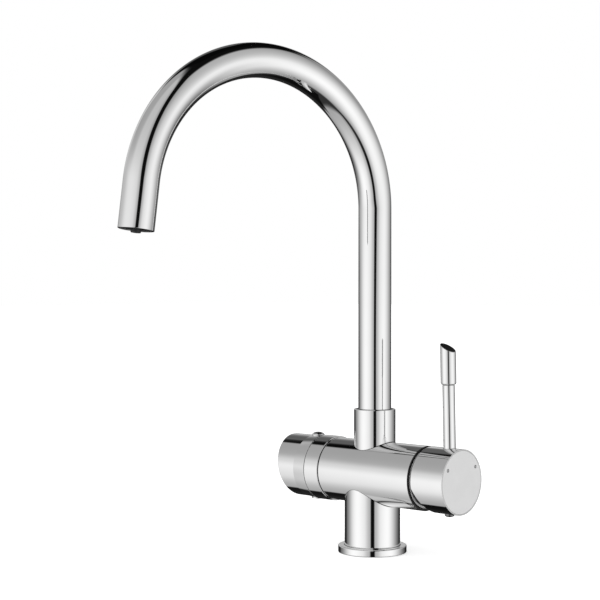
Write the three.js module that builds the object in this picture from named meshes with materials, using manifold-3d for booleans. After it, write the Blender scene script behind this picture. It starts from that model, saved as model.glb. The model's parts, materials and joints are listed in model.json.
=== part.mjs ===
// Three way filtered water tap: a cross tube on a base column, a tall swivel spout, a lever mixer on
// the right and a quarter-turn filtered water valve on the left.
// Millimetres, +Z up. Origin: centre of the foot, on the worktop. The cross tube runs along X.

import * as THREE from 'three';
import { mergeVertices } from 'three/addons/utils/BufferGeometryUtils.js';
import Module from 'manifold-3d';

const wasm = await Module();
wasm.setup();

// ---------------------------------------------------------------- driving dimensions

// Clearances
const gap = 0.3; // between two pieces that touch
const play = 0.5; // where a turning part faces a fixed one
const flush = 0.1; // a face set just under the rim round it
const edge = 0.4; // bevel on plain turned edges
const over = 1; // how far a cutter runs past the face it opens

// Cross tube, column and collar, one casting
const axisHeight = 60.2; // cross tube axis above the worktop
const bodyRadius = 24;
const bodyLength = 88;
const bodyLeft = 34.4; // column axis to the left end face
const bodyBevel = 0.7; // round the right end
const columnRadius = 21.1;
const collarRadius = 15.75;
const collarHeight = 48.4; // collar top above the cross tube axis
const spoutOffset = 2.3; // spout axis, towards the mixer

// Foot
const flangeRadius = 26;
const flangeSide = 4.5;
const flangeBevel = 0.8;
const ledgeHeight = 2.8; // flange floor under the column
const inletBoreRadius = 17;
const manifoldHeight = 19.7;
const sealWidth = 3;
const sealHeight = 1.5;
const manifoldRingPlace = 5.7; // seal groove under the manifold's top

// Waterways
const portRadius = 4.5; // hose port, M10 fine thread
const portDepth = 13;
const portWall = 1.7; // manifold rim to port
const studRadius = 3.4; // tapping size of the M8 fixing stud
const studDepth = 14;
const passRadius = 3; // drilled water passages
const inletDrop = 6.2; // inlet passages under the cross tube axis
const outletRise = 10.5; // mixed water passage over that axis
const filterPassRadius = 2.5;

// Manifold screw, M3
const screwRadius = 1.5;
const screwHeadRadius = 2.6;
const screwHeadHeight = 3;
const screwHeadRecess = 1; // head under the manifold's face
const screwRim = 0.9; // screw head to the manifold's rim
const screwGrip = 6; // thread length in the casting
const hexDepth = 2; // socket depth in the screws
const hexRadius = 1.25;

// Round seals
const cordWidth = 1.5; // section of the round seals

// Mixer cartridge, 35 mm size, listed from its seat outwards
const mixerDepth = 37.3; // seat's depth in the right end
const cartridgeRadius = 17.5;
const cartridgeWall = 1.6;
const baseThickness = 3.4;
const portSealDepth = 1.2;
const portSealWidth = 1.1;
const discThickness = 3.2;
const fixedDiscRadius = 14.7;
const movingDiscRadius = 11;
const mixingWindow = 7.2; // square window in the moving disc
const carrierThickness = 3.7;
const rotorToPivot = 6.7; // inner end of the rotor to the spindle's pin
const housingLength = 25.7;
const housingLip = 3;
const rotorNeckRadius = 11;
const rotorNeckReach = 3.5; // neck past the housing
const rotorSlotWall = 2.1; // neck wall at the ends of the spindle's slot
const pinRadius = 1.5;
const pinInset = 2; // pin's ends under the rotor's rim
const spindleWidth = 6;
const spindleHeight = 7;
const spindleShank = 4; // full section behind the pin
const spindleNeckRadius = 1.2;
const ballRadius = 2;
const ballToPivot = 8.6;

// Cartridge nut and cover
const nutInset = 4; // nut's rim inside the cross tube's
const nutBore = 12.2;
const nutHexRadius = 15;
const nutHexDepth = 3;
const coverInset = 3.5; // cover's rim inside the cross tube's
const coverBore = 12.6;
const coverShoulder = 4.5; // width of the domed rim
const coverHeight = 3.7;

// Mixer handle
const handleGap = 2.6; // body end to handle
const handleLength = 28.5;
const handleWall = 2.4;
const handleFront = 5.2; // thickness of the closed front
const cutAngle = 24.3; // slant under the rear edge
const cutDrop = 3.75; // where the slant starts, under the axis
const hubRadius = 7.5;
const hubStart = 6.8; // hub in front of the handle's rear edge
const leverSetback = 11.1; // lever axis behind the face
const leverBossRadius = 6.5;
const grubBossRadius = 5.5;
const faceRim = 1.4; // handle's rim round the face disc
const faceDiscThickness = 1.1;
const dotRadius = 1;
const dotDepth = 0.6;
const dotInset = 3.5; // dots to the face disc's rim
const dotAngle = 58.5; // degrees either side of the top
const plugRadius = 3.5;
const plugDepth = 6;
const plugProud = 2.2; // plug dome past the handle
const plugDome = 1.4;
const grubRadius = 2.2;
const grubLength = 7;

// Lever
const leverLean = 1.3; // degrees back over the body
const leverRadius = 4.5;
const leverRodLength = 45.8; // handle top to grip
const leverRoot = 13; // rod inside the handle
const spigotRadius = 3;
const spigotLength = 20;
const gripRadius = 5.7;
const gripLength = 27.2; // to the middle of the slanted tip
const gripShoulder = 1.4;
const tipSlant = 29; // degrees to the worktop, higher over the body

// Filter valve, listed from its seat outwards
const filterDepth = 21.7; // seat's depth in the left end
const valveRadius = 13.7;
const valveWall = 1.4;
const seatSealThickness = 1.6;
const valveDiscThickness = 3.1;
const stemRadius = 4.7;
const stemFlange = 2.8;
const valveFlangeInset = 0.7; // valve flange inside the trim ring's bore
const valveFlangeThickness = 3.3;
const valveHexRadius = 12;
const noseRadius = 9;
const noseLength = 2.7;
const clipThickness = 0.9;
const clipReach = 2.6;
const stemRingPlace = 4; // seal groove beyond the stem's shoulder
const stemStep = 0.7; // thinner end, in the knob
const stemClearance = 1; // stem's end to the knob's floor

// Trim ring and filter knob
const trimProud = 1; // trim ring past the cross tube
const trimLength = 13.6;
const trimWall = 4.7;
const trimFront = 2;
const knobCone = 11.7; // length of the tapered band
const knobCap = 16.5; // band to the middle of the slanted end
const knobSlant = 10.8; // degrees, longer at the top
const knobWall = 2.5;
const knobEnd = 7; // thickness of the closed end, at its middle
const knobHubRadius = 8;
const pipRadius = 5;
const pipProud = 2.6; // past the tapered band
const pipDome = 1.6;
const screwBossProud = 0.8;
const pipPlace = 4.4; // from the band's edge at the cap
const accessRadius = 3;

// Spout
const tubeRadius = 12.5;
const tubeWall = 1.2;
const springHeight = 260; // where the riser turns into the arc
const archRadius = 103.1;
const archAngle = 172.66; // degrees
const tipLength = 33.4;
const swivelAtRest = 9.6; // degrees towards the filter side
const socketFloor = 17.8; // socket floor above the cross tube axis
const socketPlay = 0.4;
const chamberRadius = 9; // mixing chamber under the socket
const chamberHeight = 9;
const innerSealHeight = 3; // seal pocket under the mixing chamber
const connectorLength = 21.2; // below the tube
const connectorSpigot = 12;
const connectorWall = 2;
const ringPlaces = [3, 8]; // seal grooves above the connector's foot
const clipGroove = 15.2; // clip groove above the socket floor
const clipSeat = 1; // how far the clip reaches into the casting
const clipSplit = 2; // gap in the clip
const retainerThickness = 1.5;
const glideHeight = 2.6;
const glideWidth = 0.9;
const innerTubeRadius = 3;
const innerTubeWall = 1;

// Outlet
const nozzleRadius = 3.5;
const nozzleProud = 2;
const nozzleLength = 14; // without its barb
const nozzleBore = 1;
const barbLength = 5.5;
const barbRadius = 1.7;
const aeratorLength = 11.4;
const aeratorRecess = 0.6;
const aeratorWall = 1.5;
const sleeveWall = 1;
const webWidth = 1.6;
const webHeight = 3;
const screenThickness = 0.8;
const screenHoleRadius = 0.8;
const screenHoles = 12;

// Facets
const chordError = 0.25; // how far a facet may cut inside its true circle
const archSteps = 24;
const domeSteps = 3;

// ---------------------------------------------------------------- dependent sizes

const seatDepth = cordWidth + gap;
const seatWidth = cordWidth + 2 * gap;
const manifoldRadius = inletBoreRadius - gap;
const portCircle = manifoldRadius - portWall - portRadius;
const portSide = portCircle * Math.SQRT1_2; // ports and stud stand on the diagonals
const ports = [[portSide, portSide], [portSide, -portSide], [-portSide, -portSide]];
const studPlace = [-portSide, portSide];
const columnFoot = ledgeHeight + gap;
const inletBoreTop = manifoldHeight + gap;
const flangeHeight = flangeSide + flangeBevel;
const screwCircle = manifoldRadius - screwRim - screwHeadRadius;
const sealMiddle = (inletBoreRadius + flangeRadius) / 2;

const bodyRight = bodyLength - bodyLeft; // column axis to the right end face
const mixerSeat = bodyRight - mixerDepth;
const nutRadius = bodyRadius - nutInset;
const coverRadius = bodyRadius - coverInset;
const cartridgeBaseStart = mixerSeat + gap;
const housingStart = cartridgeBaseStart + baseThickness + gap;
const fixedDiscStart = housingStart;
const movingDiscStart = fixedDiscStart + discThickness + gap;
const carrierStart = movingDiscStart + discThickness + gap;
const rotorStart = carrierStart + carrierThickness + gap;
const pivotPlace = rotorStart + rotorToPivot;
const housingEnd = housingStart + housingLength;
const housingBore = cartridgeRadius - cartridgeWall;
const cartridgeBore = cartridgeRadius + gap;
const neckEnd = housingEnd + rotorNeckReach;
const inlets = [[portSide, -inletDrop], [-portSide, -inletDrop]];
const outlet = [0, outletRise];
const filterInlet = [portSide, -inletDrop];

const handleRadius = bodyRadius;
const handleRear = bodyRight + handleGap;
const handleFace = handleRear + handleLength;
const handleBore = handleRadius - handleWall;
const cavityEnd = handleFace - handleFront;
const leverPlace = handleFace - leverSetback;
const faceDiscRadius = handleRadius - faceRim;
const faceDiscEnd = handleFace - flush;
const dotCircle = faceDiscRadius - dotInset;
const spindleEnd = cavityEnd - play;

const filterSeat = bodyLeft - filterDepth;
const valveBore = valveRadius - valveWall;
const valveDiscRadius = valveBore - gap;
const seatSealStart = filterSeat + gap;
const valveFixedStart = seatSealStart + seatSealThickness + gap;
const valveMovingStart = valveFixedStart + valveDiscThickness + gap;
const stemStart = valveMovingStart + valveDiscThickness + gap;
const stemShoulder = stemStart + stemFlange + gap;
const trimRadius = bodyRadius + trimProud;
const trimStart = bodyLeft + gap;
const trimEnd = trimStart + trimLength;
const trimBore = trimRadius - trimWall;
const valveFlangeRadius = trimBore - valveFlangeInset;
const valveFlangeEnd = trimStart + valveFlangeThickness;
const hexEnd = trimEnd - trimFront - gap;
const noseEnd = hexEnd + noseLength;
const clipStart = noseEnd + gap;
const knobStart = trimEnd + gap;
const coneEnd = knobStart + knobCone;
const knobMiddle = coneEnd + knobCap;
const knobBore = bodyRadius - knobWall;
const knobFloor = knobMiddle - knobEnd;
const knobHubStart = clipStart + clipThickness + play;
const pipCentre = coneEnd - pipPlace;
const stemEnd = knobFloor - stemClearance;
const endRadius = stemRadius - stemStep;

const collarTop = axisHeight + collarHeight;
const socketStart = axisHeight + socketFloor;
const socketRadius = tubeRadius + socketPlay;
const connectorFoot = socketStart + gap;
const tubeStart = connectorFoot + connectorLength + gap;
const tubeBore = tubeRadius - tubeWall;
const mixingFloor = socketStart - chamberHeight;
const pocketFloor = mixingFloor - innerSealHeight;
const innerTubeStart = axisHeight + filterPassRadius + gap;
const innerTubePlay = innerTubeRadius + gap;
const connectorBore = tubeBore - gap - connectorWall;
const nozzleShoulder = nozzleProud - nozzleLength; // measured from the tube's end

// ---------------------------------------------------------------- building blocks

/** Closed solid, fit for cutting and joining, from any closed geometry. */
function solid(geometry) {
  for (const name of ['normal', 'uv']) geometry.deleteAttribute(name);
  const merged = mergeVertices(geometry);
  const corners = merged.index.array;
  const triangles = [];
  for (let i = 0; i < corners.length; i += 3) {
    const [a, b, c] = corners.subarray(i, i + 3);
    if (a !== b && b !== c && c !== a) triangles.push(a, b, c);
  }
  const vertProperties = Float32Array.from(merged.attributes.position.array);
  const triVerts = Uint32Array.from(triangles);
  return new wasm.Manifold(new wasm.Mesh({ numProp: 3, vertProperties, triVerts }));
}

/** Number of facets for a circle, a multiple of four so that corners lie on both axes. */
const sidesFor = (radius) => 4 * Math.ceil(Math.PI / Math.acos(1 - chordError / radius) / 4);

/** Turned geometry: a profile of [radius, height] pairs revolved about Z. */
function turned(profile, sides = sidesFor(Math.max(...profile.map(([radius]) => radius)))) {
  const outline = profile.map(([radius, height]) => new THREE.Vector2(radius, height));
  if (THREE.ShapeUtils.isClockWise(outline)) outline.reverse();
  const onAxis = outline[0].x === 0 && outline.at(-1).x === 0;
  if (!onAxis) outline.push(outline[0].clone());
  return new THREE.LatheGeometry(outline, sides).rotateX(Math.PI / 2);
}

/** Round bar along Z. */
function bar(radius, low, high, sides) {
  return turned([[0, low], [radius, low], [radius, high], [0, high]], sides);
}

/** Round bar along Z with bevelled rims. */
function bevelledBar(radius, low, high, lowBevel, highBevel) {
  return turned([
    [0, low], [radius - lowBevel, low], [radius, low + lowBevel],
    [radius, high - highBevel], [radius - highBevel, high], [0, high],
  ]);
}

/** Plain ring about Z. */
function ring(inner, outer, low, high) {
  return turned([[inner, low], [outer, low], [outer, high], [inner, high]]);
}

/** Round seal with a six-sided section, in a groove that starts at a height on a shaft. */
function roundSeal(outer, grooveLow) {
  const half = cordWidth / 2;
  const profile = [];
  for (let i = 0; i < 6; i++) {
    const angle = i * Math.PI / 3;
    profile.push([outer - half + Math.cos(angle) * half, grooveLow + seatWidth / 2 + Math.sin(angle) * half]);
  }
  return turned(profile);
}

/** Points of a rounded rim, from its side up and in to its top; a width of the whole radius is a dome. */
function rim(radius, top, width, drop) {
  return Array.from({ length: domeSteps + 1 }, (_, i) => {
    const angle = i / domeSteps * Math.PI / 2;
    return [radius - width * (1 - Math.cos(angle)), top - drop * (1 - Math.sin(angle))];
  });
}

/** Box centred on Z, between two heights. */
function block(sizeX, sizeY, low, high) {
  return new THREE.BoxGeometry(sizeX, sizeY, high - low).translate(0, 0, (low + high) / 2);
}

/** The same geometry turned so that its Z axis points along +Y or -Y. */
const pointingUp = (geometry) => geometry.rotateX(-Math.PI / 2);
const pointingDown = (geometry) => geometry.rotateX(Math.PI / 2);

/** First solid joined with the others, or cut by them. */
const joined = (first, ...rest) => rest.reduce((sum, next) => sum.add(solid(next)), solid(first));
const cut = (body, ...cutters) => cutters.reduce((rest, next) => rest.subtract(solid(next)), body);

/** Cutter for all above a plane that crosses Z at a height and rises towards +Y. */
function slantedCutter(angle, height, radius) {
  return block(4 * radius, 4 * radius, 0, 2 * radius).rotateX(angle).translate(0, 0, height);
}

/** Headless screw along Z with a hexagon socket in its top end. */
function grubScrew(low, high) {
  return cut(solid(bar(grubRadius, low, high)), bar(hexRadius, high - hexDepth, high + over, 6));
}

const finishes = {
  chrome: new THREE.MeshStandardMaterial({ color: 0xd8dadc, roughness: 0.06, metalness: 1 }),
  satin: new THREE.MeshStandardMaterial({ color: 0xd4d5d6, roughness: 0.45, metalness: 0.6 }),
  brass: new THREE.MeshStandardMaterial({ color: 0xb5944f, roughness: 0.35, metalness: 1 }),
  steel: new THREE.MeshStandardMaterial({ color: 0xa9acaf, roughness: 0.3, metalness: 1 }),
  rubber: new THREE.MeshStandardMaterial({ color: 0x17181a, roughness: 0.8, metalness: 0 }),
  whitePlastic: new THREE.MeshStandardMaterial({ color: 0xe6e6e2, roughness: 0.5, metalness: 0 }),
  blackPlastic: new THREE.MeshStandardMaterial({ color: 0x202224, roughness: 0.45, metalness: 0 }),
  ceramic: new THREE.MeshStandardMaterial({ color: 0xf0ece2, roughness: 0.35, metalness: 0 }),
  greyDot: new THREE.MeshStandardMaterial({ color: 0x85878a, roughness: 0.5, metalness: 0 }),
};

/** Adds a named piece to a group. */
function add(group, name, shape, finish) {
  const body = shape instanceof THREE.BufferGeometry ? solid(shape) : shape;
  const { vertProperties, triVerts } = body.getMesh();
  const geometry = new THREE.BufferGeometry();
  geometry.setAttribute('position', new THREE.BufferAttribute(vertProperties, 3));
  geometry.setIndex(new THREE.BufferAttribute(triVerts, 1));
  const flat = geometry.toNonIndexed();
  flat.computeVertexNormals();
  const mesh = new THREE.Mesh(flat, finishes[finish].clone());
  mesh.name = name;
  group.add(mesh);
}

// ---------------------------------------------------------------- frames

const tap = new THREE.Group();

/** Group whose own Z points along a world direction and whose own Y points up. */
function axisGroup(direction) {
  const group = new THREE.Group();
  const up = new THREE.Vector3(0, 0, 1);
  const side = new THREE.Vector3().crossVectors(up, direction);
  group.quaternion.setFromRotationMatrix(new THREE.Matrix4().makeBasis(side, up, direction));
  group.position.z = axisHeight;
  tap.add(group);
  return group;
}

const mixer = axisGroup(new THREE.Vector3(1, 0, 0));
const filter = axisGroup(new THREE.Vector3(-1, 0, 0));

const spout = new THREE.Group();
spout.position.x = spoutOffset;
spout.rotation.z = -THREE.MathUtils.degToRad(swivelAtRest);
tap.add(spout);

const lever = new THREE.Group();
lever.position.set(0, handleRadius, leverPlace);
lever.quaternion.setFromRotationMatrix(new THREE.Matrix4().makeBasis(
  new THREE.Vector3(1, 0, 0), new THREE.Vector3(0, 0, -1), new THREE.Vector3(0, 1, 0)));
lever.rotateX(-THREE.MathUtils.degToRad(leverLean));
mixer.add(lever);

tap.updateMatrixWorld(true);
const inFrame = (group, geometry) => geometry.applyMatrix4(group.matrixWorld);
const inMixer = (geometry) => geometry.applyMatrix4(lever.matrix);

// ---------------------------------------------------------------- foot

function addFoot() {
  const sealInner = sealMiddle - sealWidth / 2;
  const sealOuter = sealMiddle + sealWidth / 2;
  const grooveTop = sealHeight + gap;
  add(tap, 'base_flange', turned([
    [inletBoreRadius, 0], [sealInner - gap, 0], [sealInner - gap, grooveTop], [sealOuter + gap, grooveTop],
    [sealOuter + gap, 0], [flangeRadius - edge, 0], [flangeRadius, edge], [flangeRadius, flangeSide],
    [flangeRadius - flangeBevel, flangeHeight], [columnRadius + gap, flangeHeight],
    [columnRadius + gap, ledgeHeight], [inletBoreRadius, ledgeHeight],
  ]), 'chrome');
  add(tap, 'base_seal', ring(sealInner, sealOuter, 0, sealHeight), 'rubber');

  const grooveLow = manifoldHeight - manifoldRingPlace;
  const grooveHigh = grooveLow + seatWidth;
  const grooveRadius = manifoldRadius - seatDepth;
  let manifold = solid(turned([
    [0, 0], [manifoldRadius, 0], [manifoldRadius, grooveLow], [grooveRadius, grooveLow],
    [grooveRadius, grooveHigh], [manifoldRadius, grooveHigh], [manifoldRadius, manifoldHeight],
    [0, manifoldHeight],
  ]));
  for (const [x, y] of ports) {
    manifold = cut(manifold,
      bar(portRadius, -over, portDepth).translate(x, y, 0),
      bar(passRadius, portDepth - over, manifoldHeight + over).translate(x, y, 0));
  }
  const headTop = screwHeadRecess + screwHeadHeight;
  manifold = cut(manifold,
    bar(studRadius, -over, studDepth).translate(...studPlace, 0),
    bar(screwHeadRadius + gap, -over, headTop + gap).translate(screwCircle, 0, 0),
    bar(screwRadius + gap, headTop, manifoldHeight + over).translate(screwCircle, 0, 0));
  add(tap, 'inlet_manifold', manifold, 'brass');

  add(tap, 'manifold_oring', roundSeal(manifoldRadius, grooveLow), 'rubber');

  const screw = cut(
    joined(bar(screwHeadRadius, screwHeadRecess, headTop),
      bar(screwRadius, screwHeadHeight, inletBoreTop + screwGrip)),
    bar(hexRadius, screwHeadRecess - over, screwHeadRecess + hexDepth, 6));
  add(tap, 'manifold_screw', screw.translate([screwCircle, 0, 0]), 'steel');
}

// ---------------------------------------------------------------- casting

function addBody() {
  const crossTube = turned([
    [0, -bodyLeft], [bodyRadius - edge, -bodyLeft], [bodyRadius, edge - bodyLeft],
    [bodyRadius, bodyRight - bodyBevel], [bodyRadius - bodyBevel, bodyRight], [0, bodyRight],
  ]);
  const column = bar(columnRadius, columnFoot, axisHeight);
  const collar = bevelledBar(collarRadius, axisHeight, collarTop, 0, edge).translate(spoutOffset, 0, 0);
  const casting = joined(inFrame(mixer, crossTube), column, collar);

  const inSpout = (geometry) => geometry.translate(spoutOffset, 0, 0);
  const clipLow = socketStart + clipGroove - gap;
  const socket = [
    bar(socketRadius, socketStart, collarTop + over),
    bar(chamberRadius, mixingFloor, socketStart + over),
    bar(innerTubePlay + cordWidth + gap, pocketFloor, mixingFloor + over),
    bar(innerTubePlay, axisHeight, pocketFloor + over),
    bar(tubeRadius + gap + glideWidth + gap, collarTop - glideHeight - gap, collarTop + over),
    bar(socketRadius + clipSeat + gap, clipLow, clipLow + retainerThickness + 2 * gap),
  ].map(inSpout);

  const mixerSide = [
    bar(cartridgeBore, mixerSeat, bodyRight + over),
    bar(nutRadius + gap, housingEnd, bodyRight + over),
    bar(passRadius, spoutOffset, mixerSeat + over).translate(...outlet, 0),
    ...inlets.map((place) => bar(passRadius, portSide, mixerSeat + over).translate(...place, 0)),
  ];

  const filterSide = [
    bar(valveRadius + gap, filterSeat, bodyLeft + over),
    bar(filterPassRadius, -spoutOffset, filterSeat + over),
    bar(passRadius, portSide, filterSeat + over).translate(...filterInlet, 0),
  ];

  const riserTop = axisHeight - inletDrop + passRadius;
  const risers = ports.map(([x, y]) => bar(passRadius, inletBoreTop - over, riserTop).translate(x, y, 0));

  const body = cut(casting,
    bar(inletBoreRadius, columnFoot - over, inletBoreTop),
    bar(screwRadius + gap, inletBoreTop - over, inletBoreTop + screwGrip + gap).translate(screwCircle, 0, 0),
    ...socket, ...risers,
    ...mixerSide.map((geometry) => inFrame(mixer, geometry)),
    ...filterSide.map((geometry) => inFrame(filter, geometry)));
  add(tap, 'main_body', body, 'chrome');
}

// ---------------------------------------------------------------- mixer cartridge

/** Bar along the spindle's tilting axis. */
const crossBar = (radius, half) => bar(radius, -half, half).rotateY(Math.PI / 2).translate(0, 0, pivotPlace);

function addCartridge() {
  const sealRadius = passRadius + gap + portSealWidth;
  const openings = [...inlets, outlet];
  const sealSeat = cartridgeBaseStart + portSealDepth;
  const low = cartridgeBaseStart - over;
  const through = (place) => bar(passRadius, low, movingDiscStart).translate(...place, 0);
  const recess = (place) => bar(sealRadius + gap, low, sealSeat).translate(...place, 0);

  add(mixer, 'mixer_cartridge_base', cut(
    solid(bar(cartridgeRadius, cartridgeBaseStart, cartridgeBaseStart + baseThickness)),
    ...openings.map(through), ...openings.map(recess)), 'whitePlastic');
  ['hot', 'cold', 'outlet'].forEach((name, i) => {
    const seal = ring(passRadius, sealRadius, cartridgeBaseStart, sealSeat - gap);
    add(mixer, `cartridge_seal_${name}`, seal.translate(...openings[i], 0), 'rubber');
  });
  add(mixer, 'mixer_fixed_disc', cut(
    solid(bar(fixedDiscRadius, fixedDiscStart, fixedDiscStart + discThickness)),
    ...openings.map(through)), 'ceramic');

  const channel = block(mixingWindow, mixingWindow, movingDiscStart - over, carrierStart);
  add(mixer, 'mixer_moving_disc', cut(
    solid(bar(movingDiscRadius, movingDiscStart, movingDiscStart + discThickness)),
    channel), 'ceramic');

  const window = 2 * (ballRadius + gap);
  add(mixer, 'disc_carrier', cut(
    solid(bar(movingDiscRadius, carrierStart, carrierStart + carrierThickness)),
    block(window, window, carrierStart - over, rotorStart)), 'whitePlastic');

  const rotorRadius = housingBore - gap;
  const slotHeight = 2 * (rotorNeckRadius - rotorSlotWall);
  add(mixer, 'mixer_rotor', cut(
    solid(turned([
      [0, rotorStart], [rotorRadius, rotorStart], [rotorRadius, housingEnd - housingLip - gap],
      [rotorNeckRadius, housingEnd - housingLip - gap], [rotorNeckRadius, neckEnd], [0, neckEnd],
    ])),
    block(spindleWidth + 2 * gap, slotHeight, rotorStart - over, neckEnd + over),
    crossBar(pinRadius + gap, cartridgeRadius)), 'whitePlastic');
  add(mixer, 'mixer_pivot_pin', crossBar(pinRadius, rotorRadius - pinInset), 'steel');

  const shankStart = pivotPlace - spindleShank;
  const ballPlace = pivotPlace - ballToPivot;
  add(mixer, 'mixer_spindle', cut(
    joined(block(spindleWidth, spindleHeight, shankStart, spindleEnd),
      bar(spindleNeckRadius, ballPlace, shankStart + over),
      new THREE.SphereGeometry(ballRadius, 12, 8).translate(0, 0, ballPlace)),
    crossBar(pinRadius + gap, spindleWidth)), 'brass');

  add(mixer, 'mixer_cartridge_housing', turned([
    [housingBore, housingStart], [cartridgeRadius, housingStart], [cartridgeRadius, housingEnd],
    [rotorNeckRadius + gap, housingEnd], [rotorNeckRadius + gap, housingEnd - housingLip],
    [housingBore, housingEnd - housingLip],
  ]), 'blackPlastic');

  const nutStart = housingEnd + gap;
  const nutEnd = bodyRight - gap;
  add(mixer, 'cartridge_nut', cut(
    solid(ring(nutBore, nutRadius, nutStart, nutEnd)),
    bar(nutHexRadius, nutEnd - nutHexDepth, nutEnd + over, 6)), 'brass');
  const coverEnd = bodyRight + coverHeight;
  add(mixer, 'cartridge_cover', turned([
    [coverBore, bodyRight], ...rim(coverRadius, coverEnd, coverShoulder, coverHeight), [coverBore, coverEnd],
  ]), 'blackPlastic');
}

// ---------------------------------------------------------------- mixer handle

/** Wedge that clears the rear edge under the handle, so that the handle can tilt. */
function rearCut() {
  const slope = Math.tan(THREE.MathUtils.degToRad(cutAngle));
  const depth = 2 * handleRadius;
  const wedge = new THREE.Shape([
    new THREE.Vector2(handleRear - slope * over, over - cutDrop),
    new THREE.Vector2(handleRear - slope * over, -cutDrop - depth),
    new THREE.Vector2(handleRear + slope * depth, -cutDrop - depth),
  ]);
  const width = 4 * handleRadius;
  return new THREE.ExtrudeGeometry(wedge, { depth: width, bevelEnabled: false })
    .translate(0, 0, -width / 2)
    .applyMatrix4(new THREE.Matrix4().makeBasis(
      new THREE.Vector3(0, 0, 1), new THREE.Vector3(0, 1, 0), new THREE.Vector3(-1, 0, 0)));
}

function addHandle() {
  const shell = cut(
    solid(bevelledBar(handleRadius, handleRear, handleFace, edge, edge)),
    bar(handleBore, handleRear - over, cavityEnd));
  const hubBack = handleRear + hubStart;
  const bossReach = handleBore + over;
  const bosses = [
    bar(hubRadius, hubBack, cavityEnd + over),
    pointingUp(bar(leverBossRadius, 0, bossReach)).translate(0, 0, leverPlace),
    pointingDown(bar(grubBossRadius, 0, bossReach)).translate(0, 0, leverPlace),
  ];
  const plugInner = handleRadius - plugDepth;
  const discStart = faceDiscEnd - faceDiscThickness;
  const handle = cut(
    bosses.reduce((sum, boss) => sum.add(solid(boss)), shell),
    rearCut(),
    block(spindleWidth + 2 * gap, spindleHeight + 2 * gap, hubBack - over, spindleEnd + gap),
    bar(faceDiscRadius + gap, discStart - gap, handleFace + over),
    inMixer(bar(leverRadius + gap, -leverRoot - gap, leverRadius)),
    pointingDown(bar(grubRadius + gap, 0, handleRadius)).translate(0, 0, leverPlace),
    pointingDown(bar(plugRadius + gap, plugInner, handleRadius + over)).translate(0, 0, leverPlace));
  add(mixer, 'mixer_handle', handle, 'chrome');
  addFaceDisc(discStart);

  const grubStart = spindleHeight / 2 + gap;
  const grub = grubScrew(grubStart, grubStart + grubLength);
  add(mixer, 'handle_grub_screw', grub.rotate([90, 0, 0]).translate([0, 0, leverPlace]), 'steel');

  const plug = turned([
    [0, plugInner + gap], [plugRadius, plugInner + gap],
    ...rim(plugRadius, handleRadius + plugProud, plugRadius, plugDome),
  ]);
  add(mixer, 'handle_screw_plug', pointingDown(plug).translate(0, 0, leverPlace), 'chrome');
}

/** Satin disc in the handle's face, with its two inlaid dots. */
function addFaceDisc(discStart) {
  const dotStart = faceDiscEnd - dotDepth;
  const places = [-dotAngle, dotAngle].map((angle) => {
    const turn = THREE.MathUtils.degToRad(angle);
    return [Math.sin(turn) * dotCircle, Math.cos(turn) * dotCircle];
  });
  const pockets = places.map((place) =>
    bar(dotRadius + gap, dotStart - gap, handleFace + over).translate(...place, 0));
  const disc = bar(faceDiscRadius, discStart, faceDiscEnd);
  add(mixer, 'handle_face_disc', cut(solid(disc), ...pockets), 'satin');
  ['left_dot', 'right_dot'].forEach((name, i) => {
    add(mixer, name, bar(dotRadius, dotStart, handleFace).translate(...places[i], 0), 'greyDot');
  });
}

function addLever() {
  add(lever, 'lever_rod', turned([
    [0, -leverRoot], [leverRadius, -leverRoot], [leverRadius, leverRodLength],
    [spigotRadius, leverRodLength], [spigotRadius, leverRodLength + spigotLength],
    [0, leverRodLength + spigotLength],
  ]), 'chrome');

  const gripStart = leverRodLength + gap;
  const gripMiddle = leverRodLength + gripLength;
  const slant = THREE.MathUtils.degToRad(tipSlant + leverLean);
  const reach = gripMiddle + gripRadius;
  const shoulder = rim(gripRadius, 0, gripShoulder, gripShoulder).reverse()
    .map(([radius, depth]) => [radius, gripStart - depth]);
  add(lever, 'lever_grip', cut(
    solid(turned([[0, gripStart], ...shoulder, [gripRadius, reach], [0, reach]])),
    slantedCutter(slant, gripMiddle, gripRadius),
    bar(spigotRadius + gap, gripStart - over, leverRodLength + spigotLength + gap)), 'chrome');
}

// ---------------------------------------------------------------- filter valve

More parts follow.
